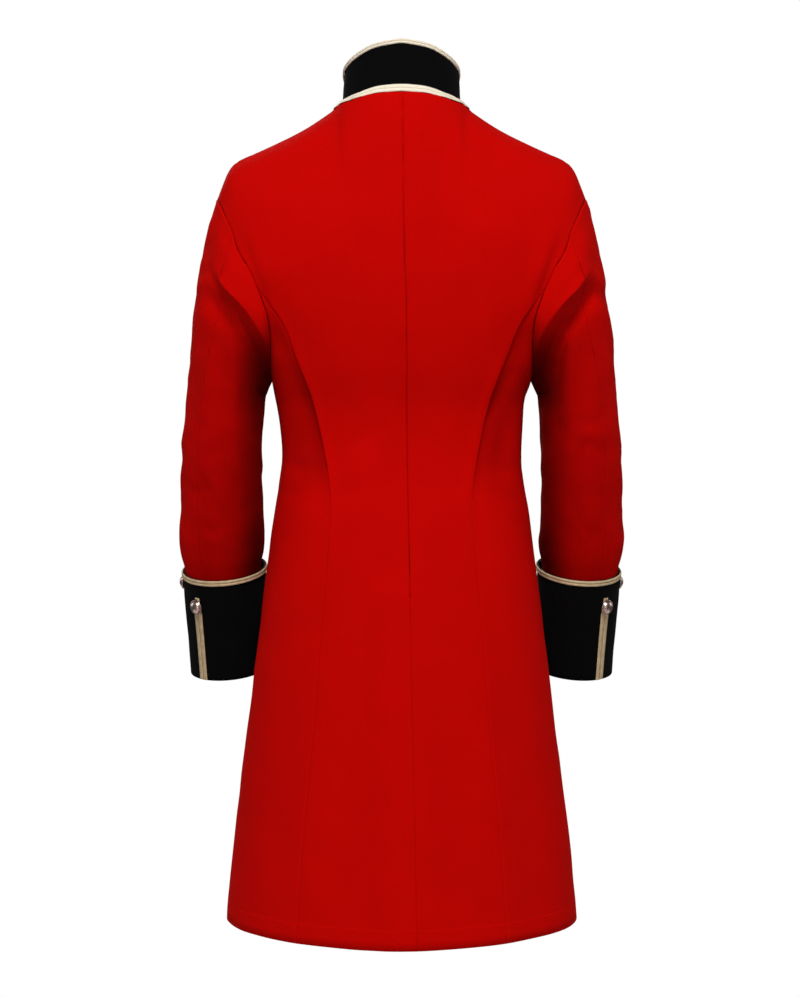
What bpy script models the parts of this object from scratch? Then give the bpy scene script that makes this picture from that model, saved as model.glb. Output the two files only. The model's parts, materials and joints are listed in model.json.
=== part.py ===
# Military jacket: a knee-length red coat with a black stand collar, black turn-back cuffs and gold braid.
# The cloth hangs in its worn, filled-out form with nobody in it. Metres, +Z up. The back faces +Y, the
# front faces -Y and +X is the wearer's left. The origin is the middle of the neck base.

import math

import bmesh
import bpy
import numpy as np
from mathutils import Matrix, Vector

# Driving dimensions
CLOTH = 0.0020
COLLAR_CLOTH = 0.0030
CUFF_CLOTH = 0.0024
SEAM_HALF_GAP = 0.00015
PIECE_GAP = 0.0004
LAP_LIFT = CLOTH + PIECE_GAP
HEM_Z = -1.009
BLADE_Z = -0.215
DOME_HEIGHT = 0.150
FRONT_LAP = 0.018
VENT_TOP_Z = -0.583
VENT_LAP_Z = -0.605
BRAID_THICK = 0.0016
BRAID_OUTLINE = ((0, 0), (1, 0), (1, 0.65), (0.77, 1), (0.5, 0.55), (0.23, 1), (0, 0.65))
BUTTON_RADIUS = 0.0088
BUTTON_HEIGHT = 0.0068
BUTTON_PROFILE = ((0.0, 1.0), (0.5, 0.82), (0.8, 0.48), (1.0, 0.36), (1.0, 0.12), (0.0, 0.0))
BUTTON_FACETS = 14
FRONT_BUTTONS = 7
FRONT_BUTTON_TOP_Z = -0.085
FRONT_BUTTON_STEP = 0.063

SHARP_ANGLE = math.radians(50)

# Colour, roughness and metal of each finish.
RED_WOOL = ((0.46, 0.003, 0.002), 0.85, 0.0)
BLACK_WOOL = ((0.006, 0.006, 0.006), 0.9, 0.0)
GOLD_BRAID = ((0.62, 0.48, 0.30), 0.6, 0.0)
BRASS = ((0.55, 0.34, 0.20), 0.3, 1.0)

# Torso sections, one row a level: half width, depth behind and before the side line, and how square
# the back and the front are (2 is an ellipse).
TORSO_COLUMNS = ("z", "half_width", "back", "front", "back_square", "front_square")
TORSO = (
    (-1.009, 0.2180, 0.188, 0.165, 1.85, 2.0),
    (-0.900, 0.2080, 0.172, 0.156, 1.90, 2.1),
    (-0.750, 0.1890, 0.149, 0.142, 2.00, 2.2),
    (-0.600, 0.1710, 0.121, 0.128, 2.15, 2.3),
    (-0.520, 0.1610, 0.104, 0.120, 2.25, 2.3),
    (-0.430, 0.1506, 0.084, 0.112, 2.40, 2.4),
    (-0.380, 0.1550, 0.086, 0.116, 2.50, 2.4),
    (-0.338, 0.1620, 0.096, 0.122, 2.80, 2.4),
    (-0.315, 0.1680, 0.101, 0.124, 2.90, 2.4),
    (-0.2885, 0.1780, 0.1055, 0.1255, 3.00, 2.4),
    (-0.262, 0.2015, 0.1085, 0.1265, 3.00, 2.4),
    (-0.235, 0.2207, 0.1100, 0.1265, 3.00, 2.4),
    (-0.215, 0.2328, 0.1110, 0.1260, 3.00, 2.4),
)

# Height of the shoulder line along the half width. The first rows lie inside the neck hole and only
# steer the slope of the cloth up to the collar.
CREST_BACK = (
    (0.0, 0.084), (0.025, 0.076), (0.050, 0.0495), (0.070, 0.021), (0.0844, -0.003), (0.090, -0.0075),
    (0.0987, -0.0137), (0.107, -0.0188), (0.1194, -0.026), (0.1444, -0.039), (0.1706, -0.0512),
    (0.198, -0.0638), (0.208, -0.069), (0.2144, -0.076), (0.2206, -0.0888), (0.2262, -0.101),
    (0.2306, -0.114),
)
CREST_FRONT = ((0.0, 0.0285), (0.050, 0.0193), (0.070, 0.0079)) + CREST_BACK[4:]

# Seam lines of the back, height against distance from the middle.
CENTRE_BACK_SEAM = (
    (-1.009, -0.0182), (-0.770, -0.0136), (-0.600, -0.0100), (-0.410, -0.0066),
    (-0.240, -0.0052), (-0.170, -0.0030), (0.010, -0.0018),
)
PRINCESS_SEAM = (
    (-1.009, 0.1235), (-0.882, 0.1155), (-0.7394, 0.1022), (-0.6492, 0.0964), (-0.5835, 0.0905),
    (-0.4875, 0.0850), (-0.4307, 0.0925), (-0.3679, 0.1070), (-0.3029, 0.1325), (-0.2455, 0.1600),
    (-0.235, 0.1730),
)
SIDE_SEAM_ANGLE = math.radians(103.0)

# The armhole, from the shoulder tip down the back, under the arm and up the front: half width, height.
ARMHOLE = (
    (0.2306, -0.114), (0.2265, -0.119), (0.2205, -0.131), (0.2130, -0.147), (0.2040, -0.168),
    (0.1970, -0.189), (0.1840, -0.2105), (0.1730, -0.235), (0.1634, -0.262), (0.1596, -0.2885),
    (0.1610, -0.315), (0.1618, -0.332), (0.1620, -0.338), (0.1612, -0.333), (0.1600, -0.315),
    (0.1595, -0.2885), (0.1620, -0.262), (0.1690, -0.235), (0.1780, -0.211), (0.1870, -0.189),
    (0.1960, -0.168), (0.2065, -0.147), (0.2165, -0.131), (0.2245, -0.119),
)
UNDERARM = 12
PRINCESS_END = 7
SIDE_SEAM_END = 13
ROUND = len(ARMHOLE)

# Levels of the rows below the armhole, and the middle rows between the last of them and the armhole.
LOW_LEVELS = (HEM_Z, -0.920, -0.830, -0.740, -0.670, VENT_LAP_Z, VENT_TOP_Z, -0.530, -0.480, -0.430, -0.380)
MIDDLE_ROWS = 4

# Where the columns of a panel end along the neck and shoulder seam.
NECK_HALF_WIDTH = 0.0840
NECK_BACK = 0.0750
NECK_FRONT = 0.0950
NECK_BACK_SQUARE = 2.3
NECK_FRONT_SQUARE = 2.2
NECK_POINT_X = 0.0835
BACK_NECK_STOPS = (0.0, 0.030, 0.055, 0.073)
SHOULDER_STOPS = (NECK_POINT_X, 0.118, 0.152, 0.183, 0.208, 0.2206, 0.2306)
BACK_STOPS = BACK_NECK_STOPS + SHOULDER_STOPS
FRONT_NECK_STOPS = (FRONT_LAP, 0.037, 0.055, 0.069, 0.077, 0.0808, 0.0828)
FRONT_STOPS = FRONT_NECK_STOPS + SHOULDER_STOPS
STRAIGHT_STOP = 0.118
VENT_OFFSETS = (0.0, 0.0175, 0.035, 0.052)
SEAM_BEHIND_CREST = ((0.080, 0.0118), (0.208, 0.005), (0.2306, 0.0))

# Sleeve rings down the arm: height, middle across and fore and aft, half width, half depth, and the lean
# of the ring in degrees, which is square to the forearm. Each ring also falls a little towards its outside.
RING_FALL = 0.06
SLEEVE_RINGS = (
    (-0.365, 0.2195, 0.004, 0.0495, 0.0640, 0.0),
    (-0.400, 0.2225, 0.004, 0.0500, 0.0640, 3.0),
    (-0.440, 0.2250, -0.003, 0.0503, 0.0630, 8.0),
    (-0.480, 0.2262, -0.015, 0.0508, 0.0615, 13.0),
    (-0.520, 0.2257, -0.027, 0.0518, 0.0600, 15.0),
    (-0.545, 0.2250, -0.0345, 0.0512, 0.0580, 15.0),
    (-0.560, 0.2246, -0.0390, 0.0490, 0.0555, 15.0),
    (-0.577, 0.2246, -0.0440, 0.0458, 0.0525, 15.0),
    (-0.620, 0.2244, -0.0570, 0.0455, 0.0520, 14.5),
    (-0.660, 0.2236, -0.0690, 0.0458, 0.0520, 13.5),
    (-0.7057, 0.2222, -0.0810, 0.0466, 0.0522, 12.0),
)
CAP_STEPS = (0.0, 0.16, 0.27, 0.37, 0.58, 0.80)
# The drape behind the arm: how far the cloth swells above its edge and falls back under it, at each
# step of the cap, and how much of it each line round the arm takes.
DRAPE_DEPTH = (0.0, 0.0050, 0.0070, -0.0100, -0.0090, -0.0035)
DRAPE_SHARE = {3: 0.35, 4: 0.8, 5: 1.0, 6: 1.0, 7: 1.0, 8: 1.0, 9: 0.8, 10: 0.35}
CAP_SWELL = 0.037
TIP_GAP = 0.0006
CAP_LENGTH = 0.251
CAP_ARRIVE = (0.4, 0.4, 1.0)
HIND_SEAM = 4
FORE_SEAM = 15

CUFF_RINGS = (
    (-0.5743, 0.2253, -0.0435, 0.0523, 0.0590, 15.0),
    (-0.6100, 0.2250, -0.0540, 0.0521, 0.0585, 15.0),
    (-0.6550, 0.2238, -0.0675, 0.0504, 0.0570, 13.5),
    (-0.7057, 0.2222, -0.0810, 0.0496, 0.0552, 12.0),
)
CUFF_LENGTH = 0.1365
CUFF_BRAID_DROP = 0.0070
# The braid down the cuff: its angle round the arm at the top and at the foot, and the drop to its point.
CUFF_BACK_STRIP = (54.3, 55.3, 0.0240)
CUFF_SIDE_STRIP = (-17.0, -15.0, 0.0100)
CUFF_STRIP_HALF = 0.0050
CUFF_STRIP_POINT = 0.45
CUFF_STRIP_ROWS = 6
CUFF_STRIP_END = 0.0005
CUFF_RADIUS = 0.0525
CUFF_BUTTON_DROP = 0.0115
CUFF_BUTTON_TURN = 0.5

# Collar: angle round the neck from the middle of the back, and the height of the top edge.
COLLAR_TOP = (
    (0, 0.0720), (25, 0.0675), (45, 0.0600), (70, 0.0510),
    (90, 0.0455), (120, 0.0300), (150, 0.0120), (180, 0.0030),
)
COLLAR_FRONT_HALF_GAP = 0.0008
COLLAR_ROUND = 0.92
COLLAR_LONG_CHORD = 0.0165
COLLAR_WAIST = (0.985, 0.985, 1.0)
COLLAR_STAND = (0.0738, 0.0712, 0.0880)
COLLAR_RIM = (0.0714, 0.0685, 0.0820)
COLLAR_STAND_RISE = 0.0120
COLLAR_SEAM_RISE = 0.0010
COLLAR_BASE_BRAID = (0.0020, 0.0098)
COLLAR_TOP_BRAID = 0.0060


def smooth(rows, column=1):
    """A curve through the rows that never overshoots them: the first column against another."""
    xs = np.array([row[0] for row in rows], float)
    ys = np.array([row[column] for row in rows], float)
    step = np.diff(xs)
    rise = np.diff(ys) / step
    slope = np.zeros(len(xs))
    slope[0] = rise[0]
    slope[-1] = rise[-1]
    for k in range(1, len(xs) - 1):
        if rise[k - 1] * rise[k] > 0:
            near = 2 * step[k] + step[k - 1]
            far = step[k] + 2 * step[k - 1]
            slope[k] = (near + far) / (near / rise[k - 1] + far / rise[k])

    def value(x):
        x = min(max(x, xs[0]), xs[-1])
        k = min(int(np.searchsorted(xs, x, side="right")) - 1, len(xs) - 2)
        t = (x - xs[k]) / step[k]
        a = ys[k] * (1 + 2 * t) * (1 - t) ** 2 + ys[k + 1] * t * t * (3 - 2 * t)
        return float(a + step[k] * (slope[k] * t * (1 - t) ** 2 - slope[k + 1] * t * t * (1 - t)))

    return value


def mix(a, b, t):
    return a + (b - a) * t


def eased(t):
    return t * t * (3 - 2 * t)


torso = {name: smooth(TORSO, k) for k, name in enumerate(TORSO_COLUMNS) if k}
crest_back = smooth(CREST_BACK)
crest_front = smooth(CREST_FRONT)
centre_back_x = smooth(CENTRE_BACK_SEAM)
princess_x = smooth(PRINCESS_SEAM)
seam_behind = smooth(SEAM_BEHIND_CREST)
collar_top_z = smooth(COLLAR_TOP)


def depth_at(x, z, behind):
    """Distance of the cloth from the side plane at a level, behind or before it."""
    name = "back" if behind else "front"
    square = torso[name + "_square"](z)
    share = min(abs(x) / torso["half_width"](z), 1.0)
    return torso[name](z) * (1 - share**square) ** (1 / square)


def body_point(angle, rise):
    """The outside of the coat. The angle goes round from the middle of the back. The rise is counted from
    the blade level: below it the sections are level rings, above it the cloth arches to the shoulder."""
    behind = math.cos(angle) >= 0
    if rise < 0:
        z = BLADE_Z + rise
        x = torso["half_width"](z) * math.sin(angle)
        return np.array([x, depth_at(x, z, behind) * (1 if behind else -1), z])
    arch = rise / DOME_HEIGHT
    if arch > math.pi / 2:
        behind = not behind
        arch = math.pi - arch
    x = torso["half_width"](BLADE_Z) * math.sin(angle)
    crest = crest_back(abs(x)) if behind else crest_front(abs(x))
    y = depth_at(x, BLADE_Z, behind) * math.cos(arch) * (1 if behind else -1)
    return np.array([x, y, BLADE_Z + (crest - BLADE_Z) * math.sin(arch)])


def body_normal(angle, rise):
    across = body_point(angle + 0.01, rise) - body_point(angle - 0.01, rise)
    up = body_point(angle, rise + 0.001) - body_point(angle, rise - 0.001)
    normal = np.cross(across, up)
    here = body_point(angle, rise)
    outward = np.array([here[0], here[1], max(here[2] - BLADE_Z, 0.0)])
    return normal / np.linalg.norm(normal) * (1 if normal @ outward > 0 else -1)


def angle_of(x, z, behind):
    """The angle of a place on the coat whose half width and level are known."""
    wide = torso["half_width"](min(z, BLADE_Z))
    turn = math.asin(min(max(x / wide, -1.0), 1.0))
    return turn if behind else math.copysign(math.pi, x if x else 1) - turn


def rise_of(x, z, behind):
    if z < BLADE_Z:
        return z - BLADE_Z
    crest = crest_back(abs(x)) if behind else crest_front(abs(x))
    return DOME_HEIGHT * math.asin(min((z - BLADE_Z) / (crest - BLADE_Z), 1.0))


def armhole_place(k):
    """Angle and rise of one armhole point, on the wearer's left."""
    x, z = ARMHOLE[k % ROUND]
    behind = k <= UNDERARM
    return angle_of(x, z, behind), rise_of(x, z, behind)


def neck_depth(x, behind):
    square = NECK_BACK_SQUARE if behind else NECK_FRONT_SQUARE
    share = min(abs(x) / NECK_HALF_WIDTH, 1.0)
    return (NECK_BACK if behind else NECK_FRONT) * (1 - share**square) ** (1 / square)


def top_rise(x, behind):
    """Rise of the neck line or the shoulder seam, which runs a little behind the crest."""
    if abs(x) < NECK_POINT_X - 1e-6:
        y = neck_depth(x, behind)
        return DOME_HEIGHT * math.acos(y / depth_at(x, BLADE_Z, behind))
    arch = math.acos(min(seam_behind(abs(x)) / depth_at(x, BLADE_Z, True), 1.0))
    return DOME_HEIGHT * (arch if behind else math.pi - arch)


def pulled_back(points):
    """A grid whose outer edges are drawn in by half of the seam gap."""
    out = points.copy()
    for edge, inner in ((0, 1), (-1, -2)):
        way = points[inner] - points[edge]
        out[edge] += SEAM_HALF_GAP * way / np.linalg.norm(way, axis=-1, keepdims=True)
        way = points[:, inner] - points[:, edge]
        out[:, edge] += SEAM_HALF_GAP * way / np.linalg.norm(way, axis=-1, keepdims=True)
    return out


def add_object(name, mesh, material_name, finish):
    colour, roughness, metallic = finish
    material = bpy.data.materials.get(material_name) or bpy.data.materials.new(material_name)
    material.use_nodes = True
    shader = material.node_tree.nodes["Principled BSDF"]
    shader.inputs["Base Color"].default_value = (*colour, 1.0)
    shader.inputs["Roughness"].default_value = roughness
    shader.inputs["Metallic"].default_value = metallic
    mesh.materials.append(material)
    piece = bpy.data.objects.new(name, mesh)
    parts.objects.link(piece)
    return piece


def closed_mesh(name, bm):
    """A mesh from the faces, all pointing out and shaded smooth."""
    bmesh.ops.recalc_face_normals(bm, faces=bm.faces)
    mesh = bpy.data.meshes.new(name)
    bm.to_mesh(mesh)
    bm.free()
    mesh.shade_smooth()
    mesh.set_sharp_from_angle(angle=SHARP_ANGLE)
    return mesh


def wall(name, outer, normals, thick, finish, wrap=False, cut_out=None):
    """A cloth wall: the outer grid, an inner grid one thickness behind it, and rims along every edge.
    The grid's rows go up and its columns go round. cut_out names the cells that are left out."""
    rows, cols = outer.shape[:2]
    inner = outer - normals * thick
    bm = bmesh.new()
    used = {}

    def vert(layer, r, c):
        key = (layer, r, c % cols)
        if key not in used:
            used[key] = bm.verts.new((outer if layer == 0 else inner)[r, c % cols])
        return used[key]

    cells = {
        (r, c)
        for r in range(rows - 1)
        for c in range(cols if wrap else cols - 1)
        if not (cut_out and cut_out(r, c))
    }
    for r, c in sorted(cells):
        corners = [(r, c), (r, c + 1), (r + 1, c + 1), (r + 1, c)]
        bm.faces.new([vert(0, *corner) for corner in corners])
        bm.faces.new([vert(1, *corner) for corner in reversed(corners)])
        beside = ((r - 1, c), (r, c + 1), (r + 1, c), (r, c - 1))
        for k in range(4):
            neighbour = beside[k]
            if wrap:
                neighbour = (neighbour[0], neighbour[1] % cols)
            if neighbour not in cells:
                a, b = corners[k], corners[(k + 1) % 4]
                bm.faces.new([vert(0, *b), vert(0, *a), vert(1, *a), vert(1, *b)])
    return add_object(name, closed_mesh(name, bm), name + "_cloth", finish)


def placed(places):
    """Points and outward normals of a grid of angles and rises."""
    points = np.array([[body_point(*p) for p in row] for row in places])
    normals = np.array([[body_normal(*p) for p in row] for row in places])
    return points, normals


def middle_share(k):
    return k / MIDDLE_ROWS


def upper_stops(stops, hole_x):
    """Where the columns stand on a row that ends at the armhole: straight below their stops near the neck,
    and closer together towards the armhole."""
    stops = np.array(stops)
    squeeze = (hole_x - STRAIGHT_STOP) / (stops[-1] - STRAIGHT_STOP)
    return np.where(stops <= STRAIGHT_STOP, stops, STRAIGHT_STOP + (stops - STRAIGHT_STOP) * squeeze)


def back_panel(side):
    """One half of the back, from the middle seam to the seam that curves down from the armhole. Below the
    waist the left half laps over the right one at the vent."""
    left = side > 0
    last = len(BACK_STOPS) - 1
    near = len(VENT_OFFSETS) - 1
    extra = [] if left else [-VENT_OFFSETS[2], -VENT_OFFSETS[1]]
    seam_shift = 0.0 if left else -2 * SEAM_HALF_GAP

    def centre(z):
        return centre_back_x(z) + seam_shift

    def low_x(z, edge):
        start = centre(z)
        stops = [start + side * offset for offset in VENT_OFFSETS]
        shares = [(k - near) / (last - near) for k in range(near + 1, last + 1)]
        return stops + [mix(stops[near], side * edge, share) for share in shares]

    armhole_z = ARMHOLE[PRINCESS_END][1]
    levels = list(LOW_LEVELS)
    levels += [mix(LOW_LEVELS[-1], armhole_z, middle_share(k)) for k in range(1, MIDDLE_ROWS + 1)]
    places = []
    for z in levels:
        xs = low_x(z, princess_x(z))
        xs = [centre(z) + side * offset for offset in extra] + xs
        places.append([(angle_of(x, z, True), z - BLADE_Z) for x in xs])
    base_x = np.array(low_x(armhole_z, princess_x(armhole_z)))
    base_share = (base_x - base_x[0]) / (base_x[-1] - base_x[0])
    edge_low = armhole_place(PRINCESS_END)[1]
    edge_top = armhole_place(0)[1]
    for k in range(1, PRINCESS_END + 1):
        hole_x, _ = ARMHOLE[PRINCESS_END - k]
        hole_rise = armhole_place(PRINCESS_END - k)[1]
        up = k / PRINCESS_END
        edge_up = (hole_rise - edge_low) / (edge_top - edge_low)
        start = centre(mix(armhole_z, 0.0, up))
        base_line = start + base_share * (side * hole_x - start)
        top_line = side * upper_stops(BACK_STOPS, hole_x)
        top_line[0] = start
        row = []
        for x, stop, share in zip(mix(base_line, top_line, eased(up)), BACK_STOPS, base_share):
            rise = mix(armhole_z - BLADE_Z, top_rise(stop, True), mix(up, edge_up, share))
            row.append((angle_of(x, BLADE_Z, True), rise))
        places.append([row[0]] * len(extra) + row)
    points, normals = placed(places)
    if left:
        lapped = [r for r, z in enumerate(levels) if z <= VENT_LAP_Z + 1e-6]
        for r in lapped:
            for c in range(near):
                points[r, c] += normals[r, c] * LAP_LIFT
        return wall("back_left", pulled_back(points), normals, CLOTH, RED_WOOL)
    seam = points[:, len(extra)].copy()
    points[:, len(extra):] = pulled_back(points[:, len(extra):])
    top_row = LOW_LEVELS.index(VENT_LAP_Z)
    points[: top_row + 1, len(extra)] = seam[: top_row + 1]
    return wall(
        "back_right", points, normals, CLOTH, RED_WOOL,
        cut_out=lambda r, c: c < len(extra) and r >= top_row,
    )


def side_edge(row):
    """Angle and rise of the side seam at one of the low or middle rows."""
    if row < len(LOW_LEVELS):
        return SIDE_SEAM_ANGLE, LOW_LEVELS[row] - BLADE_Z
    share = middle_share(row - len(LOW_LEVELS) + 1)
    hole_angle, hole_rise = armhole_place(SIDE_SEAM_END)
    return mix(SIDE_SEAM_ANGLE, hole_angle, share), mix(LOW_LEVELS[-1] - BLADE_Z, hole_rise, share)


def side_panel(side):
    """The side body: from the curved back seam round to the side seam. Its top is the armhole's foot."""
    count = SIDE_SEAM_END - PRINCESS_END
    places = []
    for row in range(len(LOW_LEVELS) + MIDDLE_ROWS):
        share = middle_share(max(row - len(LOW_LEVELS) + 1, 0))
        base_z = LOW_LEVELS[min(row, len(LOW_LEVELS) - 1)]
        base_angle = angle_of(princess_x(base_z), base_z, True)
        line = []
        for c in range(count + 1):
            hole_angle, hole_rise = armhole_place(PRINCESS_END + c)
            rise = mix(base_z - BLADE_Z, hole_rise, share)
            angle = mix(mix(base_angle, SIDE_SEAM_ANGLE, c / count), hole_angle, share)
            if c == 0:
                angle = angle_of(princess_x(BLADE_Z + rise), BLADE_Z + rise, True)
            line.append((angle * side, rise))
        line[-1] = (side_edge(row)[0] * side, side_edge(row)[1])
        places.append(line)
    points, normals = placed(places)
    name = "side_left" if side > 0 else "side_right"
    return wall(name, pulled_back(points), normals, CLOTH, RED_WOOL)


def front_panel(side):
    """One front, from the lap at the middle to the side seam, armhole and shoulder. The left front laps
    over the right one and lies one cloth further out there."""
    left = side > 0
    base_share = np.linspace(0.0, 1.0, len(FRONT_STOPS))
    across = np.concatenate([[0.0, 0.0], base_share])
    laps = (-FRONT_LAP, 0.0)

    def line(level_wide, edge_turn, up):
        start = math.asin(FRONT_LAP / level_wide)
        base_turns = start + base_share * (edge_turn - start)
        top_turns = np.arcsin(upper_stops(FRONT_STOPS, level_wide * math.sin(edge_turn)) / level_wide)
        turns = [math.asin(x / level_wide) for x in laps] + list(mix(base_turns, top_turns, eased(up)))
        return [side * (math.pi - turn) for turn in turns]

    places = []
    for row in range(len(LOW_LEVELS) + MIDDLE_ROWS):
        angle, rise = side_edge(row)
        wide = torso["half_width"](BLADE_Z + rise)
        places.append([(a, rise) for a in line(wide, math.pi - angle, 0.0)])
    steps = ROUND - SIDE_SEAM_END
    edge_low = armhole_place(SIDE_SEAM_END)[1]
    edge_top = armhole_place(0)[1]
    goals = [top_rise(x, False) for x in laps + FRONT_STOPS]
    for k in range(1, steps + 1):
        angle, hole_rise = armhole_place(SIDE_SEAM_END + k) if k < steps else armhole_place(0)
        edge_turn = math.pi - angle if k < steps else angle
        up = k / steps
        edge_up = (hole_rise - edge_low) / (edge_top - edge_low)
        wide = torso["half_width"](min(BLADE_Z + hole_rise, BLADE_Z))
        row = []
        for a, goal, share in zip(line(wide, edge_turn, up), goals, across):
            row.append((a, mix(edge_low, goal, mix(up, edge_up, share))))
        places.append(row)
    points, normals = placed(places)
    if left:
        points[:, :3] += normals[:, :3] * LAP_LIFT
    name = "front_left" if left else "front_right"
    wall(name, pulled_back(points), normals, CLOTH, RED_WOOL)
    if left:
        front_buttons(points[:, 1], normals[:, 1])


def ring_point(ring, turn, side=1):
    """A place on a ring round the arm. The turn goes from the outside of the arm towards the back."""
    z, x, y, half_width, half_depth, lean = ring
    back = half_depth * math.sin(turn)
    lean = math.radians(lean)
    lie = half_width * math.cos(turn)
    height = z - back * math.sin(lean) - RING_FALL * lie
    return np.array([side * (x + lie), y + back * math.cos(lean), height])


def grid_normals(points, wrap):
    """Outward normals of a grid round the arm, each the mean of its faces."""
    rows, cols = points.shape[:2]
    out = np.zeros_like(points)
    for r in range(rows - 1):
        for c in range(cols if wrap else cols - 1):
            d = (c + 1) % cols
            face = np.cross(points[r + 1, d] - points[r, c], points[r + 1, c] - points[r, d])
            for corner in ((r, c), (r, d), (r + 1, c), (r + 1, d)):
                out[corner] += face / np.linalg.norm(face)
    return out / np.linalg.norm(out, axis=-1, keepdims=True)


def sleeve_grid():
    """Outer points of the left sleeve, from the armhole to the hem inside the cuff, and their normals."""
    rows = [[] for _ in CAP_STEPS]
    for k in range(ROUND):
        turn = 2 * math.pi * k / ROUND
        hole = body_point(*armhole_place(k))
        goal = ring_point(SLEEVE_RINGS[0], turn)
        out = np.array([math.cos(turn), math.sin(turn), 0.0])
        fall = goal - hole
        leave = fall + out * CAP_SWELL * abs(fall[2]) / CAP_LENGTH
        arrive = fall * np.array(CAP_ARRIVE)
        gap = SEAM_HALF_GAP + TIP_GAP * max(math.cos(turn), 0.0) ** 8
        start = hole + gap * fall / np.linalg.norm(fall) + PIECE_GAP * body_normal(*armhole_place(k))
        for row, t, drape in zip(rows, CAP_STEPS, DRAPE_DEPTH):
            path = start * (1 + 2 * t) * (1 - t) ** 2 + goal * t * t * (3 - 2 * t)
            path = path + leave * t * (1 - t) ** 2 - arrive * t * t * (1 - t)
            row.append(path + out * drape * DRAPE_SHARE.get(k, 0.0))
    for ring in SLEEVE_RINGS:
        rows.append([ring_point(ring, 2 * math.pi * k / ROUND) for k in range(ROUND)])
    points = np.array(rows)
    normals = grid_normals(points, True)
    if normals[-1, 0, 0] < 0:
        normals = -normals
    return points, normals


def mirrored(grid, side):
    return grid * np.array([side, 1.0, 1.0])


def sleeve(side, points, normals):
    """The sleeve's two pieces: the upper one from the inside of the elbow over the shoulder to the seam
    behind the arm, and the under one between them."""
    name = "left" if side > 0 else "right"
    upper = [k % ROUND for k in range(FORE_SEAM, ROUND + HIND_SEAM + 1)]
    under = list(range(HIND_SEAM, FORE_SEAM + 1))
    for kind, line in (("sleeve_upper_", upper), ("sleeve_under_", under)):
        outer = pulled_back(points[:, line])
        wall(kind + name, mirrored(outer, side), mirrored(normals[:, line], side), CLOTH, RED_WOOL)


def strip(name, sections, closed):
    """A braid made of sections that follow one another, closed in a ring or capped at its ends."""
    bm = bmesh.new()
    rings = [[bm.verts.new(p) for p in section] for section in sections]
    count = len(rings[0])
    for k in range(len(rings) if closed else len(rings) - 1):
        a, b = rings[k], rings[(k + 1) % len(rings)]
        for j in range(count):
            bm.faces.new([a[j], a[(j + 1) % count], b[(j + 1) % count], b[j]])
    if not closed:
        bm.faces.new(list(reversed(rings[0])))
        bm.faces.new(rings[-1])
    return add_object(name, closed_mesh(name, bm), name + "_cord", GOLD_BRAID)


def braid_section(surface, low, high):
    """Two cords side by side between two distances on a surface, standing off it by the piece gap."""
    wide = high - low
    out = []
    for share, height in BRAID_OUTLINE:
        point, normal = surface(low + share * wide)
        out.append(point + normal * (PIECE_GAP + height * BRAID_THICK))
    return out


def collar_columns():
    """Plan places of the collar's foot, along the same chords as the neck line of the body, on one side
    from the middle of the back to the middle of the front."""
    outline = [(x, neck_depth(x, True)) for x in BACK_NECK_STOPS]
    outline.append((NECK_POINT_X, seam_behind(NECK_POINT_X)))
    outline += [(x, -neck_depth(x, False)) for x in reversed(FRONT_NECK_STOPS)]
    outline.append((COLLAR_FRONT_HALF_GAP, -neck_depth(0.0, False)))
    places = [np.array([x, y, neck_height(x, y)]) for x, y in outline]
    feet = []
    for a, b in zip(places, places[1:]):
        count = 1 + int(np.linalg.norm(b - a) > COLLAR_LONG_CHORD)
        feet += [mix(a, b, k / count) for k in range(count)]
    return feet + [places[-1]]


def neck_height(x, y):
    behind = y > 0
    crest = crest_back(abs(x)) if behind else crest_front(abs(x))
    arch = math.acos(min(abs(y) / depth_at(x, BLADE_Z, behind), 1.0))
    return BLADE_Z + (crest - BLADE_Z) * math.sin(arch)


def collar_plan(ring, angle):
    half_width, back, front = ring
    x = math.sin(angle)
    y = math.cos(angle)
    wide = half_width * math.copysign(abs(x) ** COLLAR_ROUND, x)
    return np.array([wide, (back if y > 0 else front) * math.copysign(abs(y) ** COLLAR_ROUND, y)])


def collar():
    """The black stand collar with its braid round the top edge and round the foot."""
    half = []
    for foot in collar_columns():
        front = foot[1] < 0
        angle = math.atan2(foot[0] / NECK_HALF_WIDTH, foot[1] / (NECK_FRONT if front else NECK_BACK))
        top = collar_top_z(math.degrees(angle))
        low = foot + np.array([0.0, 0.0, COLLAR_SEAM_RISE])
        stand = np.append(collar_plan(COLLAR_STAND, angle), foot[2] + COLLAR_STAND_RISE)
        rim = np.append(collar_plan(COLLAR_RIM, angle), top)
        half.append([low, mix(low, stand, 0.5) * COLLAR_WAIST, stand, mix(stand, rim, 0.5), rim])
    left = np.array(half).transpose(1, 0, 2)
    left[:, -1, 0] = COLLAR_FRONT_HALF_GAP
    right = mirrored(left[:, :0:-1], -1)
    points = np.concatenate([right, left], axis=1)
    normals = grid_normals(points, False)
    if normals[2, len(right[0])][1] < 0:
        normals = -normals
    flat = normals * np.array([1.0, 1.0, 0.0])
    flat /= np.linalg.norm(flat, axis=-1, keepdims=True)
    wall("collar", points, flat, COLLAR_CLOTH, BLACK_WOOL)

    def along(column, from_top):
        steps = np.linalg.norm(np.diff(points[:, column], axis=0), axis=-1)
        heights = np.concatenate([[0.0], np.cumsum(steps)])

        def surface(d):
            d = heights[-1] - d if from_top else d
            k = min(max(int(np.searchsorted(heights, d)) - 1, 0), len(heights) - 2)
            t = (d - heights[k]) / (heights[k + 1] - heights[k])
            normal = mix(flat[k, column], flat[k + 1, column], t)
            return mix(points[k, column], points[k + 1, column], t), normal / np.linalg.norm(normal)

        return surface

    columns = range(points.shape[1])
    base = [braid_section(along(c, False), *COLLAR_BASE_BRAID) for c in columns]
    strip("collar_base_braid", base, False)
    top = [braid_section(along(c, True), 0.0, COLLAR_TOP_BRAID) for c in columns]
    strip("collar_top_braid", top, False)


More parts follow.
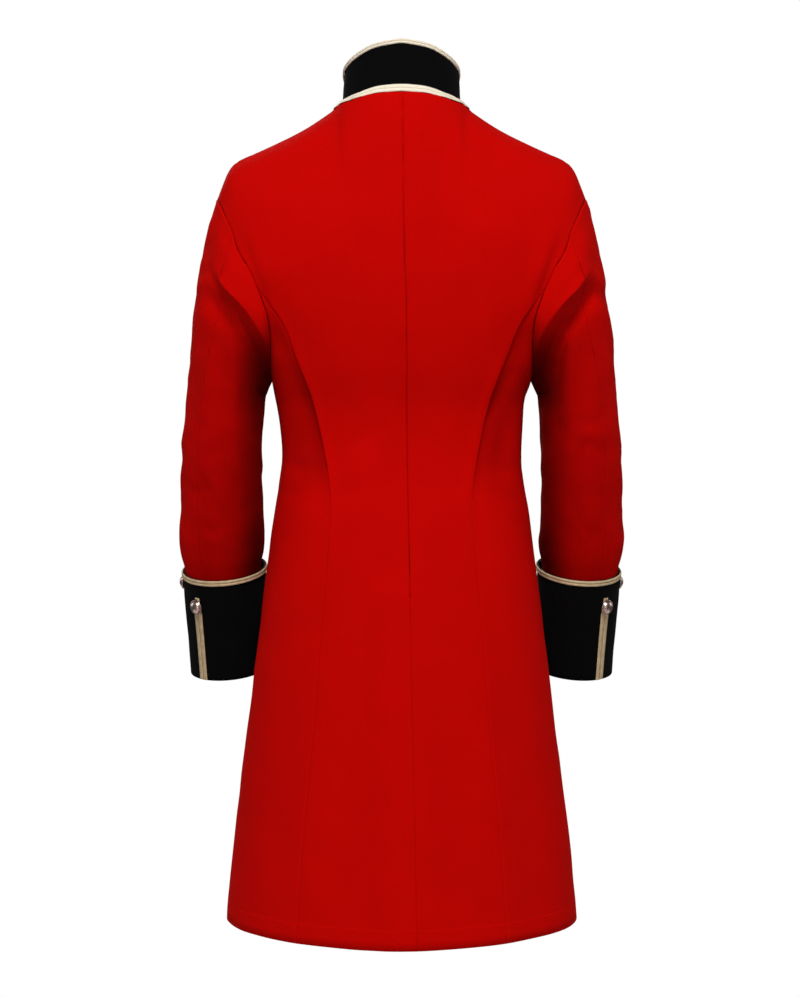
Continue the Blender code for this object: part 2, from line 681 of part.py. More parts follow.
def cuff_place(side, turn, drop):
    """A place on the outside of the cuff at a turn and a distance below its rim, and its normal."""
    lengths = [0.0]
    centres = [np.array([0.0, ring[2], ring[0]]) for ring in CUFF_RINGS]
    for a, b in zip(centres, centres[1:]):
        lengths.append(lengths[-1] + float(np.linalg.norm(b - a)))
    ring = [float(np.interp(drop, lengths, [row[c] for row in CUFF_RINGS])) for c in range(6)]
    point = ring_point(ring, turn, side)
    lean = math.radians(ring[5])
    normal = np.array([
        side * math.cos(turn) / ring[3],
        math.sin(turn) * math.cos(lean) / ring[4],
        -math.sin(turn) * math.sin(lean) / ring[4],
    ])
    return point, normal / np.linalg.norm(normal)


def cuff(side):
    """The black turn-back cuff, open at its rim, with braid along the rim and down two seams."""
    name = "left" if side > 0 else "right"
    turns = [2 * math.pi * k / ROUND for k in range(ROUND)]
    points = np.array([[ring_point(ring, turn) for turn in turns] for ring in CUFF_RINGS])
    normals = np.array([[cuff_place(1, turn, 0.0)[1] for turn in turns] for _ in CUFF_RINGS])
    wall("cuff_" + name, mirrored(points, side), mirrored(normals, side), CUFF_CLOTH, BLACK_WOOL, wrap=True)
    sections = []
    for turn in turns:
        def down(d, turn=turn):
            return cuff_place(side, turn, d)

        sections.append(braid_section(down, 0.0, CUFF_BRAID_DROP))
    strip("cuff_rim_braid_" + name, sections, True)
    for kind, (top_turn, foot_turn, start) in (("back", CUFF_BACK_STRIP), ("side", CUFF_SIDE_STRIP)):
        sections = []
        for k in range(CUFF_STRIP_ROWS + 1):
            share = k / CUFF_STRIP_ROWS
            middle = math.radians(mix(top_turn, foot_turn, share))
            drop = mix(start, CUFF_LENGTH - CUFF_STRIP_END, share)
            half = CUFF_STRIP_HALF * (CUFF_STRIP_POINT if k == 0 else 1.0)

            def across(d, middle=middle, drop=drop):
                return cuff_place(side, middle + d / CUFF_RADIUS, drop)

            sections.append(braid_section(across, -half, half))
        strip(f"cuff_{kind}_braid_{name}", sections, False)
        turn = math.radians(top_turn + CUFF_BUTTON_TURN)
        centre, normal = cuff_place(side, turn, start + CUFF_BUTTON_DROP)
        button(f"cuff_{kind}_button_{name}", centre + normal * (2 * PIECE_GAP + BRAID_THICK), normal)


def button(name, seat, way):
    """A domed metal button with a rolled rim, turned from its profile."""
    profile = [(x * BUTTON_RADIUS, 0.0, z * BUTTON_HEIGHT) for x, z in BUTTON_PROFILE]
    mesh = bpy.data.meshes.new(name)
    mesh.from_pydata(profile, [(k, k + 1) for k in range(len(profile) - 1)], [])
    piece = add_object(name, mesh, name + "_metal", BRASS)
    turned = piece.modifiers.new("Turned", "SCREW")
    turned.steps = BUTTON_FACETS
    turned.render_steps = BUTTON_FACETS
    turned.use_merge_vertices = True
    turned.merge_threshold = 0.00001
    turn = Vector(way).to_track_quat("Z", "Y").to_matrix().to_4x4()
    piece.matrix_world = Matrix.Translation(Vector(seat)) @ turn


def front_buttons(middle, normals):
    """The plain single row down the middle of the left front, whose points and normals these are."""
    for k in range(FRONT_BUTTONS):
        z = FRONT_BUTTON_TOP_Z - k * FRONT_BUTTON_STEP
        row = int(np.searchsorted(middle[:, 2], z)) - 1
        share = (z - middle[row, 2]) / (middle[row + 1, 2] - middle[row, 2])
        way = mix(normals[row], normals[row + 1], share)
        way = way / np.linalg.norm(way)
        button(f"front_button_{k + 1}", mix(middle[row], middle[row + 1], share) + way * PIECE_GAP, way)


for old in list(bpy.data.objects):
    bpy.data.objects.remove(old, do_unlink=True)
parts = bpy.data.collections.new("military_jacket")
bpy.context.scene.collection.children.link(parts)

sleeve_points, sleeve_normals = sleeve_grid()
for hand in (1, -1):
    back_panel(hand)
    side_panel(hand)
    front_panel(hand)
    sleeve(hand, sleeve_points, sleeve_normals)
    cuff(hand)
collar()
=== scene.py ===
# The looks of a knee-length red coat with a black stand collar, black turn-back cuffs and plaited braid. It
# hangs filled out with nobody in it. Metres, +Z up, the back faces +Y and +X is the wearer's left.
import json
import math

import bmesh
import bpy
import numpy as np
from mathutils import Matrix, Vector
from mathutils.bvhtree import BVHTree

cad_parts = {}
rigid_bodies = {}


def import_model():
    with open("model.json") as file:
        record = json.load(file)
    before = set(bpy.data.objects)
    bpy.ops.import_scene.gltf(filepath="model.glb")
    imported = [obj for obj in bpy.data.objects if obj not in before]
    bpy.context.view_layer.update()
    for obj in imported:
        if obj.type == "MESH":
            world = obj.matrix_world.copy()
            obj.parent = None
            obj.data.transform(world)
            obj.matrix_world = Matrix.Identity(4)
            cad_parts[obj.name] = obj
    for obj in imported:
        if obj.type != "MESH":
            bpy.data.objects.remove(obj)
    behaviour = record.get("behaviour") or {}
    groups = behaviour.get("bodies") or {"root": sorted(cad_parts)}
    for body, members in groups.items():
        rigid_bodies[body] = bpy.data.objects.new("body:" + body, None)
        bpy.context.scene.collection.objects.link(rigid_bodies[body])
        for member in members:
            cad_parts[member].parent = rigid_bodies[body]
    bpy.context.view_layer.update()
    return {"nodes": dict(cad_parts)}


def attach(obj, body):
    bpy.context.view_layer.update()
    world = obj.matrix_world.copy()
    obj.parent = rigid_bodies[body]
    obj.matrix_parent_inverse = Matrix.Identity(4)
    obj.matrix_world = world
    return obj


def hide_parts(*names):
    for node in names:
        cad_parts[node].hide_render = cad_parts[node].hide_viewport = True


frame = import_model()

# Camera: straight behind the coat and level with its middle, as the photograph was taken. It stands 1920 of
# the photograph's 1.25 mm pixels away, and the photograph is 997 of them high.
CAMERA_PLACE = (0.0019, 2.4, -0.4869)
SENSOR_SIZE = 36
PIXELS_AWAY, PIXELS_HIGH = 1920, 997
bpy.ops.object.select_all(action="DESELECT")
bpy.ops.object.camera_add(location=CAMERA_PLACE, rotation=(math.radians(90), 0, math.radians(180)))
camera = bpy.context.object
camera.data.sensor_width = SENSOR_SIZE
camera.data.lens = SENSOR_SIZE * PIXELS_AWAY / PIXELS_HIGH
camera.data.clip_end = 50
bpy.context.scene.camera = camera

# Studio: a soft light high over the camera, weaker ones low down, at the sides and before the coat, and a
# white room that gives little light itself.
LIT_MIDDLE = Vector((0.0, 0.0, -0.45))
ROOM_LIGHT = 0.10
for name, place, size, power in (
    ("key_light", (0.0, 2.7, 2.1), 1.5, 122.0),
    ("low_fill_light", (0.0, 3.4, -0.9), 1.8, 15.0),
    ("front_light", (0.5, -3.2, 1.1), 2.2, 52.0),
    ("side_light_left", (3.2, -0.9, 0.6), 1.8, 20.0),
    ("side_light_right", (-3.2, -0.9, 0.6), 1.8, 20.0),
):
    bpy.ops.object.light_add(type="AREA", location=place)
    lamp = bpy.context.object
    lamp.name = name
    lamp.data.shape = "DISK"
    lamp.data.size = size
    lamp.data.energy = power
    lamp.rotation_euler = (LIT_MIDDLE - Vector(place)).to_track_quat("-Z", "Y").to_euler()
room = bpy.data.worlds.new("white_room")
room.use_nodes = True
bpy.context.scene.world = room
room_nodes = room.node_tree.nodes
room_links = room.node_tree.links
soft_room = room_nodes["Background"]
seen_room = room_nodes.new("ShaderNodeBackground")
for background, strength in ((soft_room, ROOM_LIGHT), (seen_room, 1.0)):
    background.inputs["Color"].default_value = (1.0, 1.0, 1.0, 1.0)
    background.inputs["Strength"].default_value = strength
seen = room_nodes.new("ShaderNodeLightPath")
choose = room_nodes.new("ShaderNodeMixShader")
room_links.new(seen.outputs["Is Camera Ray"], choose.inputs["Fac"])
room_links.new(soft_room.outputs["Background"], choose.inputs[1])
room_links.new(seen_room.outputs["Background"], choose.inputs[2])
room_links.new(choose.outputs["Shader"], room_nodes["World Output"].inputs["Surface"])
bpy.context.scene.view_settings.view_transform = "Standard"

# Floor: a plain pale disc at the height that a wearer would stand on, half a metre under the hem.
FLOOR_RADIUS, FLOOR_DEPTH, FLOOR_Z = 1.35, 0.04, -1.545
bpy.ops.mesh.primitive_cylinder_add(
    vertices=96, radius=FLOOR_RADIUS, depth=FLOOR_DEPTH, location=(0, 0, FLOOR_Z))
floor = bpy.context.object
floor.name = "floor"
floor_paint = bpy.data.materials.new("pale_floor")
floor_paint.use_nodes = True
floor_shader = floor_paint.node_tree.nodes["Principled BSDF"]
floor_shader.inputs["Base Color"].default_value = (0.80, 0.79, 0.78, 1)
floor_shader.inputs["Roughness"].default_value = 0.9
floor.data.materials.append(floor_paint)

# Red cloth: fulled woollen broadcloth, dyed scarlet. A fine twill lies under a raised nap. The nap is a
# little cloudy, shade is painted into its colour where the arm and the body face each other, and the
# blind-stitched hem's edge is a faint step.
HEM_FOLD_Z, HEM_FOLD_WIDTH = -0.987, 0.0022


def joined(tree, *chain):
    """Links sockets in pairs: from, to, from, to."""
    for out, into in zip(chain[::2], chain[1::2]):
        tree.links.new(out, into)


def maths(tree, operation, first, second=None, clamp=False):
    """The result of one calculation on values or sockets, as a socket."""
    node = tree.nodes.new("ShaderNodeMath")
    node.operation = operation
    node.use_clamp = clamp
    for socket, value in zip(node.inputs, (first, second)):
        if value is None:
            continue
        if isinstance(value, (int, float)):
            socket.default_value = value
        else:
            tree.links.new(value, socket)
    return node.outputs[0]


nap = bpy.data.node_groups.new("cloth_nap", "ShaderNodeTree")
for socket_name in ("Thread Width", "Cloud Size", "Cloud Depth", "Fibre Depth", "Hem Ridge", "Painted Shade Depth"):
    nap.interface.new_socket(socket_name, in_out="INPUT", socket_type="NodeSocketFloat")
for socket_name in ("Shade", "Height"):
    nap.interface.new_socket(socket_name, in_out="OUTPUT", socket_type="NodeSocketFloat")
nap_in = nap.nodes.new("NodeGroupInput")
nap_out = nap.nodes.new("NodeGroupOutput")
nap_place = nap.nodes.new("ShaderNodeTexCoord")
threads = nap.nodes.new("ShaderNodeTexWave")
threads.wave_type = "BANDS"
threads.bands_direction = "DIAGONAL"
threads.inputs["Distortion"].default_value = 1.4
threads.inputs["Detail"].default_value = 1.0
joined(nap, nap_place.outputs["UV"], threads.inputs["Vector"])
joined(nap, maths(nap, "DIVIDE", 0.45, nap_in.outputs["Thread Width"]), threads.inputs["Scale"])
fibres = nap.nodes.new("ShaderNodeTexNoise")
fibres.inputs["Detail"].default_value = 3.0
fibres.inputs["Roughness"].default_value = 0.65
joined(nap, nap_place.outputs["Object"], fibres.inputs["Vector"])
joined(nap, maths(nap, "DIVIDE", 0.6, nap_in.outputs["Thread Width"]), fibres.inputs["Scale"])
clouds = nap.nodes.new("ShaderNodeTexNoise")
clouds.inputs["Detail"].default_value = 4.0
clouds.inputs["Roughness"].default_value = 0.55
joined(nap, nap_place.outputs["Object"], clouds.inputs["Vector"])
joined(nap, maths(nap, "DIVIDE", 1.0, nap_in.outputs["Cloud Size"]), clouds.inputs["Scale"])
cloud = maths(nap, "SUBTRACT", clouds.outputs["Fac"], 0.5)
cloud = maths(nap, "MULTIPLY", cloud, nap_in.outputs["Cloud Depth"])
fibre = maths(nap, "SUBTRACT", fibres.outputs["Fac"], 0.5)
fibre = maths(nap, "MULTIPLY", fibre, nap_in.outputs["Fibre Depth"])
# Painted shade: a point attribute that the side panels and sleeves set darkens the colour where the arm and
# the body face each other.
painted_shade_node = nap.nodes.new("ShaderNodeAttribute")
painted_shade_node.attribute_name = "painted_shade"
painted_shade_amount = maths(nap, "MULTIPLY", painted_shade_node.outputs["Fac"], nap_in.outputs["Painted Shade Depth"])
unshaded_share = maths(nap, "SUBTRACT", 1.0, painted_shade_amount)
lively = maths(nap, "ADD", maths(nap, "ADD", cloud, fibre), 1.0)
joined(nap, maths(nap, "MULTIPLY", lively, unshaded_share), nap_out.inputs["Shade"])
axes = nap.nodes.new("ShaderNodeSeparateXYZ")
joined(nap, nap_place.outputs["Object"], axes.inputs["Vector"])
above = maths(nap, "DIVIDE", maths(nap, "SUBTRACT", axes.outputs["Z"], HEM_FOLD_Z), HEM_FOLD_WIDTH)
ridge = maths(nap, "SUBTRACT", 1.0, maths(nap, "MULTIPLY", above, 1.0, clamp=True))
ridge = maths(nap, "MULTIPLY", ridge, nap_in.outputs["Hem Ridge"])
weave = maths(nap, "ADD", maths(nap, "MULTIPLY", threads.outputs["Fac"], 0.05), maths(
    nap, "MULTIPLY", fibres.outputs["Fac"], 0.10))
joined(nap, maths(nap, "ADD", weave, ridge), nap_out.inputs["Height"])


def cloth_material(name, colour, nap_values):
    """Dull wool of one dye, with the nap's sockets set by name."""
    material = bpy.data.materials.new(name)
    material.use_nodes = True
    tree = material.node_tree
    shader = tree.nodes["Principled BSDF"]
    surface = tree.nodes.new("ShaderNodeGroup")
    surface.node_tree = nap
    for socket, value in nap_values.items():
        surface.inputs[socket].default_value = value
    dye = tree.nodes.new("ShaderNodeMix")
    dye.data_type = "RGBA"
    dye.blend_type = "MULTIPLY"
    dye.inputs["Factor"].default_value = 1.0
    dye.inputs["A"].default_value = (*colour, 1)
    bump = tree.nodes.new("ShaderNodeBump")
    bump.inputs["Strength"].default_value = 0.55
    bump.inputs["Distance"].default_value = 0.0012
    joined(
        tree, surface.outputs["Shade"], dye.inputs["B"], dye.outputs["Result"], shader.inputs["Base Color"],
        surface.outputs["Height"], bump.inputs["Height"], bump.outputs["Normal"], shader.inputs["Normal"],
    )
    shader.inputs["Roughness"].default_value = 0.9
    return material, shader


red_cloth, red_shader = cloth_material("scarlet_broadcloth", (0.50, 0.0012, 0.0004), {
    "Thread Width": 0.0008, "Cloud Size": 0.055, "Cloud Depth": 0.16, "Fibre Depth": 0.10, "Hem Ridge": 1.6,
    "Painted Shade Depth": 0.90,
})
red_shader.inputs["Specular IOR Level"].default_value = 0.02
red_shader.inputs["Sheen Weight"].default_value = 0.10
red_shader.inputs["Sheen Roughness"].default_value = 0.5
red_shader.inputs["Sheen Tint"].default_value = (1.0, 0.02, 0.01, 1)

# Backs: two halves of red cloth sewn down the middle and open below as a vent. Each is the solid's own wall
# drawn smooth, its rims drawn over to the next panel, and creases moved into both faces alike.
VENT_TOP_Z = -0.600
# The steps at the curved seams run out between these heights, where the skirt begins.
STEP_END_Z = (-0.62, -0.54)
SMOOTH_LEVELS = 3
FIT_ROUNDS = 3
# How near a neighbour has to be to be sewn on, and how far each rim goes over to it.
SEAM_REACH, SEAM_SHARE = 0.0006, 0.65
COLLAR_REACH, COLLAR_LIFT = 0.0016, 0.0014
# No wall farther off than this is looked for.
FAR_OFF = 0.025
# Metres of cloth for each radian round the body, for its threads. Sleeves, collar and cuffs have their own.
BODY_TURN_LENGTH = 0.155
BACK_CREASES = (
    # where it shows, width and depth (metres, minus is a trough), then places across and up
    ("seam_ridge", 0.0070, 0.0019, ((0.1560, -0.250), (0.1290, -0.303), (0.1030, -0.368), (0.0895, -0.431),
                                    (0.0815, -0.490), (0.0840, -0.560))),
    ("blade_fold", 0.0085, -0.0028, ((0.1900, -0.176), (0.1830, -0.205), (0.1720, -0.240), (0.1600, -0.268))),
    ("blade_ridge", 0.0110, 0.0022, ((0.1800, -0.170), (0.1710, -0.205), (0.1600, -0.240), (0.1480, -0.275))),
    ("neck_hollow", 0.0300, -0.0016, ((0.0500, -0.060), (0.0420, -0.110), (0.0300, -0.160))),
    ("shoulder_pull", 0.0120, -0.0014, ((0.0900, -0.050), (0.1250, -0.085), (0.1500, -0.130))),
    ("waist_pull", 0.0130, -0.0012, ((0.0100, -0.405), (0.0400, -0.412), (0.0700, -0.430))),
    ("waist_ridge", 0.0160, 0.0011, ((0.0080, -0.440), (0.0380, -0.452), (0.0720, -0.470))),
    ("skirt_fold", 0.0300, -0.0030, ((0.0480, -0.620), (0.0560, -0.760), (0.0660, -0.900), (0.0740, -1.009))),
    ("skirt_swell", 0.0340, 0.0026, ((0.0220, -0.700), (0.0260, -0.850), (0.0340, -1.009))),
)


def drawn_smooth(node):
    """A CAD wall as one smooth mesh through all its points, with its rims and corners kept as creases."""
    bm = bmesh.new()
    bm.from_mesh(frame["nodes"][node].data)
    bmesh.ops.remove_doubles(bm, verts=bm.verts, dist=1e-6)
    bmesh.ops.join_triangles(
        bm, faces=bm.faces, angle_face_threshold=math.pi, angle_shape_threshold=math.pi, cmp_seam=False)
    crease = bm.edges.layers.float.new("crease_edge")
    for edge in bm.edges:
        if edge.calc_face_angle(0.0) > math.radians(45):
            edge[crease] = 1.0
    mesh = bpy.data.meshes.new(node + "_piece")
    bm.to_mesh(mesh)
    bm.free()
    piece = bpy.data.objects.new(node + "_piece", mesh)
    bpy.context.collection.objects.link(piece)
    smooth = piece.modifiers.new("Smooth", "SUBSURF")
    smooth.levels = smooth.render_levels = SMOOTH_LEVELS
    count = len(mesh.vertices)
    goal = np.empty(count * 3)
    mesh.vertices.foreach_get("co", goal)
    cage = goal.copy()
    for _ in range(FIT_ROUNDS):
        bpy.context.view_layer.update()
        shown = piece.evaluated_get(bpy.context.evaluated_depsgraph_get()).to_mesh()
        got = np.empty(len(shown.vertices) * 3)
        shown.vertices.foreach_get("co", got)
        cage += goal - got[: count * 3]
        mesh.vertices.foreach_set("co", cage)
        mesh.update()
    bpy.context.view_layer.objects.active = piece
    with bpy.context.temp_override(object=piece, active_object=piece, selected_objects=[piece]):
        bpy.ops.object.modifier_apply(modifier="Smooth")
    return piece


def crease_depth(across, up, creases, side, seed):
    """How far the creases move the cloth out, each a little different on the two sides of the coat."""
    total = np.zeros(len(across))
    here = np.stack([across * side, up], axis=1)
    for number, (_, width, depth, line) in enumerate(creases):
        vary = math.sin(7.3 * number + 2.1 * seed + 1.7 * side)
        line = np.array(line) + np.array([0.0030 * math.sin(3.1 * number + side), 0.0040 * vary])
        lengths = np.concatenate([[0.0], np.cumsum(np.linalg.norm(np.diff(line, axis=0), axis=1))])
        near = np.full(len(here), 1e9)
        along = np.zeros(len(here))
        for k in range(len(line) - 1):
            way = line[k + 1] - line[k]
            t = np.clip((here - line[k]) @ way / (way @ way), 0, 1)
            off = np.linalg.norm(here - line[k] - t[:, None] * way, axis=1)
            closer = off < near
            near[closer] = off[closer]
            along[closer] = (lengths[k] + t * (lengths[k + 1] - lengths[k]))[closer] / lengths[-1]
        fade = np.sin(np.pi * np.clip(0.08 + 0.84 * along, 0, 1)) ** 0.8
        wide = width * (1 + 0.25 * vary * np.sin(6 * along + number))
        total += depth * (1 + 0.25 * vary) * fade * np.exp(-((near / wide) ** 2))
    return total


def ripples(points, size, seed):
    """Soft uneven swelling from a few crossing waves, about one high."""
    turns = np.array([
        [1.0, 0.3, 0.5], [-0.4, 0.9, 0.8], [0.7, -0.8, 0.35], [0.2, 0.5, -1.0], [-0.9, -0.2, 0.6],
    ])
    total = np.zeros(len(points))
    for k, turn in enumerate(turns):
        phase = points @ turn * (2 * math.pi / size) * (0.75 + 0.17 * k) + seed * (k + 1.3)
        total += np.sin(phase + 1.6 * np.sin(0.6 * phase + seed + k))
    return total / 3.0


def eased(value, low, high):
    """0 below low and 1 above high, with a soft step between."""
    t = np.clip((value - low) / (high - low), 0, 1)
    return t * t * (3 - 2 * t)


def nearest_wall(points, nodes, walls=frame["nodes"]):
    """The closest place on any of these walls, and how far off it is, for each point that is near one."""
    off = np.full(len(points), FAR_OFF)
    place = points.copy()
    for node in nodes:
        wall = walls[node].data
        corners = [v.co[:] for v in wall.vertices]
        tree = BVHTree.FromPolygons(corners, [tuple(f.vertices) for f in wall.polygons])
        near = (points > np.min(corners, axis=0) - FAR_OFF) & (points < np.max(corners, axis=0) + FAR_OFF)
        for k in np.flatnonzero(near.all(axis=1)):
            found, _, _, far = tree.find_nearest(points[k], off[k])
            if found is not None:
                off[k] = far
                place[k] = found
    return place, off


def run_out(points, nodes, near, far):
    """0 up to the first distance from these walls and 1 from the second on, for creases that end there."""
    return eased(nearest_wall(points, nodes)[1], near, far)


def sewn(points, nodes):
    """Draws a panel's rims across the CAD's open seams, so that no light comes between two panels."""
    place, off = nearest_wall(points, nodes)
    return np.where((off < SEAM_REACH)[:, None], points + (place - points) * SEAM_SHARE, points)


def up_to_collar(points):
    """Lifts the neck edge's rim against the collar's foot."""
    place, off = nearest_wall(points, ("collar",))
    lifted = points.copy()
    higher = np.clip(place[:, 2] - points[:, 2], 0.0, COLLAR_LIFT)
    lifted[:, 2] += np.where(off < COLLAR_REACH, higher, 0.0)
    return lifted


def body_outward(points):
    """The way out of the coat's body: away from its middle line, and upwards over the shoulders."""
    lift = eased(points[:, 2], -0.22, -0.02)
    out = np.stack([points[:, 0], points[:, 1] * 1.9, lift * 0.22], axis=1)
    return out / np.linalg.norm(out, axis=1, keepdims=True)


def with_uv(piece, u, v):
    """Cloth places in metres as a UV map, so that the threads follow the piece."""
    layer = piece.data.uv_layers.new(name="cloth")
    index = np.empty(len(piece.data.loops), int)
    piece.data.loops.foreach_get("vertex_index", index)
    layer.data.foreach_set("uv", np.stack([u[index], v[index]], axis=1).ravel().astype(np.float32))


def vertex_places(piece):
    """The piece's points, one row each."""
    flat = np.empty(len(piece.data.vertices) * 3)
    piece.data.vertices.foreach_get("co", flat)
    return flat.reshape(-1, 3)


def painted_shade(piece, mask):
    """How much shade is painted into each place of the cloth's colour, from 0 to 1."""
    layer = piece.data.attributes.new(name="painted_shade", type="FLOAT", domain="POINT")
    layer.data.foreach_set("value", mask.astype(np.float32))


def move_to(piece, points):
    """Moves the piece's points to these places."""
    piece.data.vertices.foreach_set("co", points.ravel())
    piece.data.update()


def finish_cloth(piece, node, material):
    """Takes the node's place in the coat, in this cloth."""
    piece.data.materials.clear()
    piece.data.materials.append(material)
    piece.data.shade_smooth()
    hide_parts(node)
    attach(piece, "root")


def body_uv(points, side):
    """Round the body and down it."""
    turn = np.arctan2(points[:, 0] * side, points[:, 1])
    turn = np.where(turn < -0.6, turn + 2 * math.pi, turn)
    return turn * BODY_TURN_LENGTH, points[:, 2]


for side, hand in ((1, "left"), (-1, "right")):
    node = "back_" + hand
    piece = drawn_smooth(node)
    points = vertex_places(piece)
    out = crease_depth(points[:, 0], points[:, 2], BACK_CREASES, side, 0.4)
    out += 0.0006 * ripples(points, 0.16, 2.0 + side) * eased(-points[:, 2], 0.06, 0.2)
    sleeve = ("sleeve_upper_" + hand, "sleeve_under_" + hand)
    step = np.maximum(run_out(points, ("side_" + hand,), 0.0, 0.012), eased(points[:, 2], *STEP_END_Z))
    out *= run_out(points, ("front_" + hand, *sleeve), 0.0004, 0.012) * step
    points = sewn(points, ("front_" + hand, "side_" + hand, *sleeve))
    middle_seam = sewn(points, ("back_" + ("right" if side == 1 else "left"),))
    points = np.where(points[:, 2:] > VENT_TOP_Z, middle_seam, points)
    points = up_to_collar(points)
    move_to(piece, points + body_outward(points) * out[:, None])
    with_uv(piece, *body_uv(points, side))
    finish_cloth(piece, node, red_cloth)

# Side bodies: the narrow panels under the arms, eased in at the waist. They lie a little lower than the back
# along the curved seam, so a soft valley runs outside it, and shade is painted into their colour beyond it,
# under the arm. The seam is given by its depths under the nape and its distances from the middle.
CURVED_SEAM = ((0.245, 0.303, 0.368, 0.431, 0.490), (0.156, 0.129, 0.103, 0.0895, 0.0815))
SIDE_CREASES = (
    ("seam_valley", 0.0100, -0.0024, ((0.1700, -0.245), (0.1400, -0.303), (0.1150, -0.368), (0.1010, -0.431),
                                      (0.0930, -0.490), (0.0975, -0.560))),
    ("waist_valley", 0.0240, -0.0050, ((0.1440, -0.330), (0.1330, -0.380), (0.1250, -0.430),
                                       (0.1200, -0.470))),
    ("under_arm_pull", 0.0100, -0.0020, ((0.1480, -0.320), (0.1330, -0.350), (0.1180, -0.385))),
    ("waist_crease", 0.0065, -0.0017, ((0.1080, -0.447), (0.1260, -0.452), (0.1450, -0.446))),
    ("waist_crease_low", 0.0080, -0.0013, ((0.1060, -0.478), (0.1250, -0.486), (0.1480, -0.482))),
    ("hip_swell", 0.0300, 0.0022, ((0.1320, -0.600), (0.1480, -0.720), (0.1650, -0.860))),
    ("skirt_fold", 0.0230, -0.0034, ((0.1250, -0.640), (0.1400, -0.780), (0.1560, -0.920), (0.1640, -1.009))),
    ("hem_swell", 0.0200, 0.0028, ((0.1700, -0.860), (0.1840, -0.940), (0.1960, -1.009))),
)
for side, hand in ((1, "left"), (-1, "right")):
    node = "side_" + hand
    piece = drawn_smooth(node)
    points = vertex_places(piece)
    out = crease_depth(points[:, 0], points[:, 2], SIDE_CREASES, side, 1.1)
    out += 0.0006 * ripples(points, 0.12, 4.0 + side)
    sleeve = ("sleeve_upper_" + hand, "sleeve_under_" + hand)
    step = np.maximum(run_out(points, ("back_" + hand,), 0.0, 0.012), eased(points[:, 2], *STEP_END_Z))
    out *= run_out(points, ("front_" + hand, *sleeve), 0.0004, 0.014) * step
    points = sewn(points, ("back_" + hand, "front_" + hand, *sleeve))
    move_to(piece, points + body_outward(points) * out[:, None])
    # Painted shade: the colour darkens beyond the curved seam, between the armhole and the waist.
    past = points[:, 0] * side - np.interp(-points[:, 2], *CURVED_SEAM)
    painted_shade_share = eased(past, 0.000, 0.004) * (0.27 - 0.17 * eased(past, 0.010, 0.050))
    painted_shade(piece, painted_shade_share * eased(-points[:, 2], 0.30, 0.37) * (1 - eased(-points[:, 2], 0.440, 0.490)))
    with_uv(piece, *body_uv(points, side))
    finish_cloth(piece, node, red_cloth)

# Fronts: plain, closed by one row of buttons, the left one lapped over the right one. Cloth pulls softly from
# the buttons at the waist and hangs in shallow folds below it.
FRONT_CREASES = (
    ("lapel_break", 0.0140, -0.0016, ((0.0350, -0.105), (0.0700, -0.090), (0.1050, -0.075))),
    ("chest_swell", 0.0450, 0.0030, ((0.0900, -0.170), (0.0980, -0.230), (0.0850, -0.290))),
    ("arm_pull", 0.0120, -0.0026, ((0.1850, -0.165), (0.1650, -0.215), (0.1480, -0.262))),
    ("arm_ridge", 0.0130, 0.0020, ((0.1700, -0.160), (0.1500, -0.205), (0.1320, -0.250))),
    ("button_pull", 0.0085, -0.0018, ((0.0250, -0.398), (0.0600, -0.408), (0.1000, -0.425))),
    ("button_pull_low", 0.0095, -0.0016, ((0.0250, -0.462), (0.0620, -0.455), (0.1050, -0.440))),
    ("waist_ridge", 0.0110, 0.0014, ((0.0300, -0.430), (0.0700, -0.434), (0.1200, -0.438))),
    ("skirt_fold", 0.0280, -0.0038, ((0.0800, -0.560), (0.0950, -0.720), (0.1150, -0.900), (0.1220, -1.009))),
    ("skirt_swell", 0.0330, 0.0034, ((0.0500, -0.640), (0.0560, -0.800), (0.0640, -1.009))),
    ("side_fold", 0.0220, -0.0034, ((0.1500, -0.700), (0.1680, -0.850), (0.1820, -1.009))),
)
for side, hand in ((1, "left"), (-1, "right")):
    node = "front_" + hand
    piece = drawn_smooth(node)
    points = vertex_places(piece)
    out = crease_depth(points[:, 0], points[:, 2], FRONT_CREASES, side, 2.3)
    out += 0.0007 * ripples(points, 0.15, 7.0 + side) * eased(-points[:, 2], 0.06, 0.2)
    out *= eased(points[:, 0] * side, 0.020, 0.045)
    beside = ("back_" + hand, "side_" + hand, "sleeve_upper_" + hand, "sleeve_under_" + hand)
    out *= run_out(points, beside, 0.0004, 0.014)
    points = up_to_collar(sewn(points, beside))
    move_to(piece, points + body_outward(points) * out[:, None])
    with_uv(piece, *body_uv(points, side))
    finish_cloth(piece, node, red_cloth)

# Sleeves: cut in two pieces, set in at the shoulder and bent a little at the elbow. Cloth drops over itself
# behind the arm below the armhole, and small creases gather at the elbow and above the cuff. The line down
# the middle of the arm is given by height, place across and place behind.
ARM_LINE = (
    (-0.100, 0.205, 0.000), (-0.300, 0.215, 0.003), (-0.365, 0.2195, 0.004), (-0.440, 0.2250, -0.003),
    (-0.520, 0.2257, -0.027), (-0.620, 0.2244, -0.057), (-0.7057, 0.2222, -0.081),
)
# How much shade is painted into the cloth's colour, from the outside of the arm to the side that faces the
# body, and how that changes on the way down.
ARM_PAINTED_SHADE = ((-1.0, -0.66, -0.37, -0.07, 0.22, 0.37, 0.51, 0.66, 0.80, 1.0),
               (0.08, 0.11, 0.24, 0.28, 0.41, 0.54, 0.69, 0.84, 0.95, 0.98))
ARM_PAINTED_SHADE_DOWN = ((0.30, 0.36, 0.43, 0.50, 0.54), (1.05, 1.02, 0.76, 0.78, 1.0))
